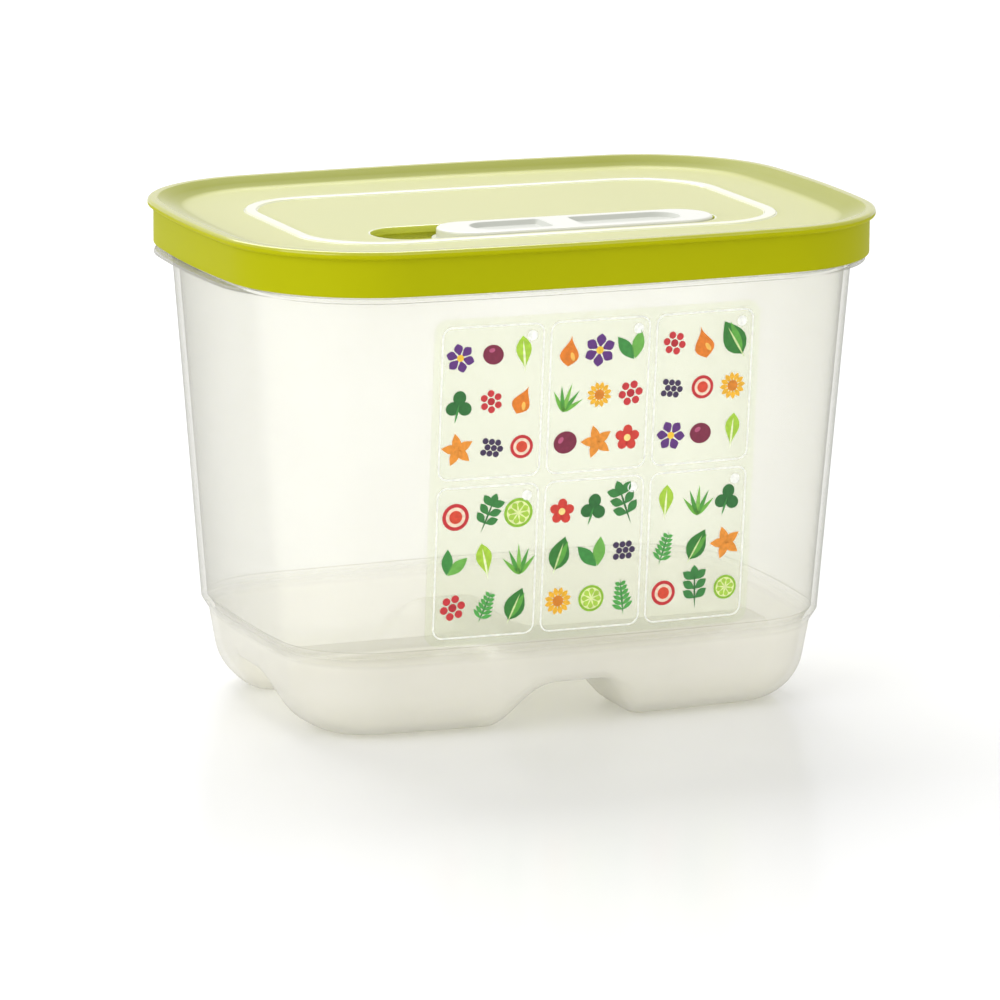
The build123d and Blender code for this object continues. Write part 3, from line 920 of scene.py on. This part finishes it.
# The ink lies a little thinner in spots of about 1.1 mm, so its colour is not quite even
mottle = node(tree, "ShaderNodeTexNoise", {"Vector": place, "Scale": 1000 / 1.1, "Detail": 2.0}).outputs[0]
mottle = node(tree, "ShaderNodeMapRange", {0: mottle, 1: 0.3, 2: 0.7, 3: 0.86, 4: 1.1}).outputs[0]
printed = node(tree, "ShaderNodeAttribute", attribute_name="ink").outputs["Color"]
shaded = node(tree, "ShaderNodeVectorMath", {0: printed, "Scale": mottle}, operation="SCALE").outputs[0]
tree.links.new(shaded, shader.inputs["Base Color"])
shader.inputs["Roughness"].default_value = 0.42
shader.inputs["IOR"].default_value = 1.48

prints = bpy.data.node_groups.new("film_prints", "GeometryNodeTree")
for name, kind, value in (
        ("Panel columns", "NodeSocketInt", 3), ("Panel rows", "NodeSocketInt", 2),
        ("Panel step across", "NodeSocketFloat", 32.2), ("Panel step up", "NodeSocketFloat", 46.4),
        ("Cell columns", "NodeSocketInt", 3), ("Cell rows", "NodeSocketInt", 3),
        ("Cell step across", "NodeSocketFloat", 9.6), ("Cell step up", "NodeSocketFloat", 13.4),
        ("Wander", "NodeSocketFloat", 0.4), ("Smallest", "NodeSocketFloat", 0.74),
        ("Largest", "NodeSocketFloat", 0.9), ("Seed", "NodeSocketInt", 4),
        ("Middle X", "NodeSocketFloat", FILM_X),
        ("Middle Z", "NodeSocketFloat", (FILM_BOTTOM + FILM_TOP) / 2),
        ("Wall radius", "NodeSocketFloat", 0.0), ("Wall centre", "NodeSocketFloat", 0.0)):
    entry = prints.interface.new_socket(name, in_out="INPUT", socket_type=kind)
    entry.default_value = value
prints.interface.new_socket("Geometry", in_out="OUTPUT", socket_type="NodeSocketGeometry")
given = node(prints, "NodeGroupInput").outputs


def point_grid(part):
    """Points of an upright grid of panels or cells, from the given counts and steps."""
    columns, rows = given[f"{part} columns"], given[f"{part} rows"]
    across, up = given[f"{part} step across"], given[f"{part} step up"]
    gaps = node(prints, "ShaderNodeCombineXYZ", {"X": columns, "Y": rows}).outputs[0]
    gaps = node(prints, "ShaderNodeVectorMath", {0: gaps, 1: (1.0, 1.0, 0.0)},
                operation="SUBTRACT").outputs[0]
    steps = node(prints, "ShaderNodeCombineXYZ", {"X": across, "Y": up}).outputs[0]
    reach = node(prints, "ShaderNodeVectorMath", {0: gaps, 1: steps}, operation="MULTIPLY").outputs[0]
    reach = node(prints, "ShaderNodeSeparateXYZ", {0: reach}).outputs
    grid = node(prints, "GeometryNodeMeshGrid", {
        "Size X": reach["X"], "Size Y": reach["Y"], "Vertices X": columns, "Vertices Y": rows})
    return node(prints, "GeometryNodeMeshToPoints", {"Mesh": grid.outputs["Mesh"]}).outputs[0]


panels, cells = point_grid("Panel"), point_grid("Cell")
spread = node(prints, "GeometryNodeInstanceOnPoints", {"Points": panels, "Instance": cells}).outputs[0]
spread = node(prints, "GeometryNodeRealizeInstances", {"Geometry": spread}).outputs[0]
wander = node(prints, "ShaderNodeCombineXYZ", {"X": given["Wander"], "Y": given["Wander"]}).outputs[0]
back = node(prints, "ShaderNodeVectorMath", {0: wander, "Scale": -1.0}, operation="SCALE").outputs[0]
shift = node(prints, "FunctionNodeRandomValue", {"Seed": given["Seed"]}, data_type="FLOAT_VECTOR")
prints.links.new(back, shift.inputs[0])
prints.links.new(wander, shift.inputs[1])
spread = node(prints, "GeometryNodeSetPosition", {"Geometry": spread, "Offset": shift.outputs[0]}).outputs[0]
# Steps of the golden section keep equal motifs far apart
index = node(prints, "GeometryNodeInputIndex").outputs[0]
kind = node(prints, "ShaderNodeMath", {0: index, 1: 0.618034, 2: 0.3}, operation="MULTIPLY_ADD").outputs[0]
kind = node(prints, "ShaderNodeMath", {0: kind}, operation="FRACT").outputs[0]
kind = node(prints, "ShaderNodeMath", {0: kind, 1: float(len(motifs.objects))},
            operation="MULTIPLY").outputs[0]
kind = node(prints, "ShaderNodeMath", {0: kind}, operation="FLOOR").outputs[0]
turn = node(prints, "FunctionNodeRandomValue", {2: -0.6, 3: 0.6, "Seed": given["Seed"]},
            data_type="FLOAT").outputs[1]
turn = node(prints, "ShaderNodeCombineXYZ", {"Z": turn}).outputs[0]
grow = node(prints, "FunctionNodeRandomValue", {
    2: given["Smallest"], 3: given["Largest"], "Seed": given["Seed"]}, data_type="FLOAT").outputs[1]
grow = node(prints, "ShaderNodeCombineXYZ", {"X": grow, "Y": grow, "Z": 1.0}).outputs[0]
drawn = node(prints, "GeometryNodeCollectionInfo", {
    "Collection": motifs, "Separate Children": True, "Reset Children": True}).outputs[0]
placed = node(prints, "GeometryNodeInstanceOnPoints", {
    "Points": spread, "Instance": drawn, "Pick Instance": True, "Instance Index": kind, "Rotation": turn,
    "Scale": grow}).outputs[0]
outlines = node(prints, "GeometryNodeCollectionInfo", {"Collection": frames_group}).outputs[0]
framed = node(prints, "GeometryNodeInstanceOnPoints", {"Points": panels, "Instance": outlines}).outputs[0]
whole = node(prints, "GeometryNodeJoinGeometry")
prints.links.new(placed, whole.inputs[0])
prints.links.new(framed, whole.inputs[0])
flat = node(prints, "GeometryNodeRealizeInstances", {"Geometry": whole.outputs[0]}).outputs[0]
at = node(prints, "ShaderNodeSeparateXYZ", {0: node(prints, "GeometryNodeInputPosition").outputs[0]}).outputs
# Bend the flat print onto the drafted, bowed front wall
across = node(prints, "ShaderNodeMath", {0: at["X"], 1: given["Middle X"]}, operation="ADD").outputs[0]
level = node(prints, "ShaderNodeMath", {0: at["Y"], 1: given["Middle Z"]}, operation="ADD").outputs[0]
ground_out = FILM_GROWTH - WALL_INSET - FLANGE_BOTTOM * WALL_DRAFT
out = node(prints, "ShaderNodeMath", {0: level, 1: WALL_DRAFT, 2: ground_out},
           operation="MULTIPLY_ADD").outputs[0]
out = node(prints, "ShaderNodeMath", {0: out, 1: at["Z"]}, operation="ADD").outputs[0]
radius = node(prints, "ShaderNodeMath", {0: given["Wall radius"], 1: out}, operation="ADD").outputs[0]
radius_squared = node(prints, "ShaderNodeMath", {0: radius, 1: 2.0}, operation="POWER").outputs[0]
across_squared = node(prints, "ShaderNodeMath", {0: across, 1: across}, operation="MULTIPLY").outputs[0]
depth = node(prints, "ShaderNodeMath", {0: radius_squared, 1: across_squared},
             operation="SUBTRACT").outputs[0]
depth = node(prints, "ShaderNodeMath", {0: depth}, operation="SQRT").outputs[0]
front = node(prints, "ShaderNodeMath", {0: given["Wall centre"], 1: depth}, operation="SUBTRACT").outputs[0]
bent = node(prints, "ShaderNodeCombineXYZ", {"X": across, "Y": front, "Z": level}).outputs[0]
bent = node(prints, "ShaderNodeVectorMath", {0: bent, "Scale": MM}, operation="SCALE").outputs[0]
bent = node(prints, "GeometryNodeSetPosition", {"Geometry": flat, "Position": bent}).outputs[0]
bent = node(prints, "GeometryNodeRealizeInstances", {"Geometry": bent}).outputs[0]
inked = node(prints, "GeometryNodeSetMaterial", {"Geometry": bent, "Material": ink}).outputs[0]
node(prints, "NodeGroupOutput", {"Geometry": inked})

side_rise = LENGTH / 2 - END_BOW
side_radius = (side_rise ** 2 + SIDE_BOW ** 2) / (2 * SIDE_BOW)
blank = bpy.data.objects.new("film_print_maker", bpy.data.meshes.new("film_print_maker"))
bpy.context.collection.objects.link(blank)
maker = blank.modifiers.new("film_prints", "NODES")
maker.node_group = prints
for name, value in (("Wall radius", side_radius), ("Wall centre", side_radius - WIDTH / 2)):
    socket = next(entry for entry in prints.interface.items_tree if entry.name == name)
    maker[socket.identifier] = value
evaluated = blank.evaluated_get(bpy.context.evaluated_depsgraph_get())
print_mesh = bpy.data.meshes.new_from_object(evaluated)
bpy.data.objects.remove(blank)
for group in (motifs, frames_group):
    for drawn_motif in list(group.objects):
        bpy.data.objects.remove(drawn_motif)
    bpy.data.collections.remove(group)
film_print = bpy.data.objects.new("film_print", print_mesh)
bpy.context.collection.objects.link(film_print)
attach(film_print, "box")
